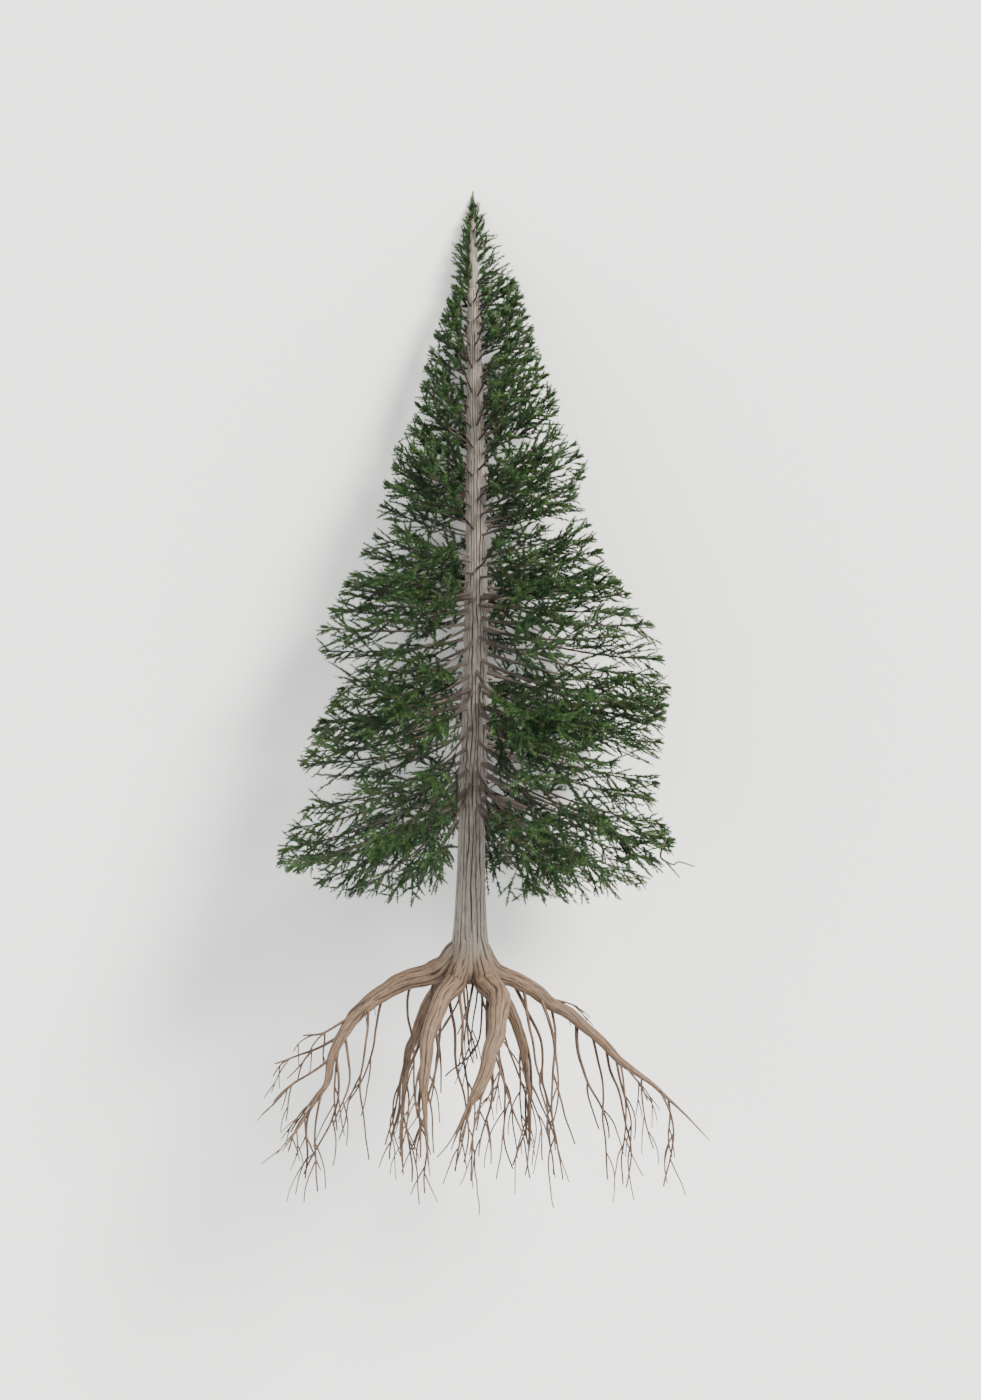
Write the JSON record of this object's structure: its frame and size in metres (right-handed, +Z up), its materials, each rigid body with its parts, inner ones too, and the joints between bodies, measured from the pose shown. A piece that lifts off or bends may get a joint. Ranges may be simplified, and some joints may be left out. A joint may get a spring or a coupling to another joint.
{
  "type": "bare-rooted fir tree",
  "caption": "Whole bare-rooted fir tree lying on its side: straight tapering trunk, tiered drooping boughs with needle foliage, and a spreading root system with fine rootlets.",
  "frame": {"origin": "middle of the underside of the whole tree's box, on the ground that it lies on", "axes": "+Y along the lying trunk towards the tree's tip, which touches the ground, with the roots towards -Y; +Z up; +X to the right of the standing tree seen from its front"},
  "size_m": [4.6624, 10.0788, 3.6118],
  "materials": {
    "bark": "rough, with long vertical fissures",
    "root_bark": "rough, with lengthwise grain",
    "needles": "satin dark green needles",
    "rootlets": "rough"
  },
  "bodies": {
    "root": {"bough_high_000": "bark", "bough_high_060": "bark", "bough_high_120": "bark", "bough_high_180": "bark", "bough_high_240": "bark", "bough_high_300": "bark", "bough_low_000": "bark", "bough_low_060": "bark", "bough_low_120": "bark", "bough_low_180": "bark", "bough_low_240": "bark", "bough_low_300": "bark", "bough_middle_000": "bark", "bough_middle_060": "bark", "bough_middle_120": "bark", "bough_middle_180": "bark", "bough_middle_240": "bark", "bough_middle_300": "bark", "foliage_crest_090": "needles", "foliage_crest_195": "needles", "foliage_crest_345": "needles", "foliage_high_000": "needles", "foliage_high_060": "needles", "foliage_high_120": "needles", "foliage_high_180": "needles", "foliage_high_240": "needles", "foliage_high_300": "needles", "foliage_leader": "needles", "foliage_low_000": "needles", "foliage_low_060": "needles", "foliage_low_120": "needles", "foliage_low_180": "needles", "foliage_low_240": "needles", "foliage_low_300": "needles", "foliage_middle_000": "needles", "foliage_middle_060": "needles", "foliage_middle_120": "needles", "foliage_middle_180": "needles", "foliage_middle_240": "needles", "foliage_middle_300": "needles", "foliage_slender_090": "needles", "foliage_slender_195": "needles", "foliage_slender_345": "needles", "foliage_upper_090": "needles", "foliage_upper_195": "needles", "foliage_upper_345": "needles", "root_back_left": "root_bark", "root_back_right": "root_bark", "root_front_left": "root_bark", "root_front_right": "root_bark", "root_left": "root_bark", "root_right": "root_bark", "rootlets_back_left": "rootlets", "rootlets_back_right": "rootlets", "rootlets_front_left": "rootlets", "rootlets_front_right": "rootlets", "rootlets_left": "rootlets", "rootlets_right": "rootlets", "trunk": "bark"}
  },
  "joints": []
}
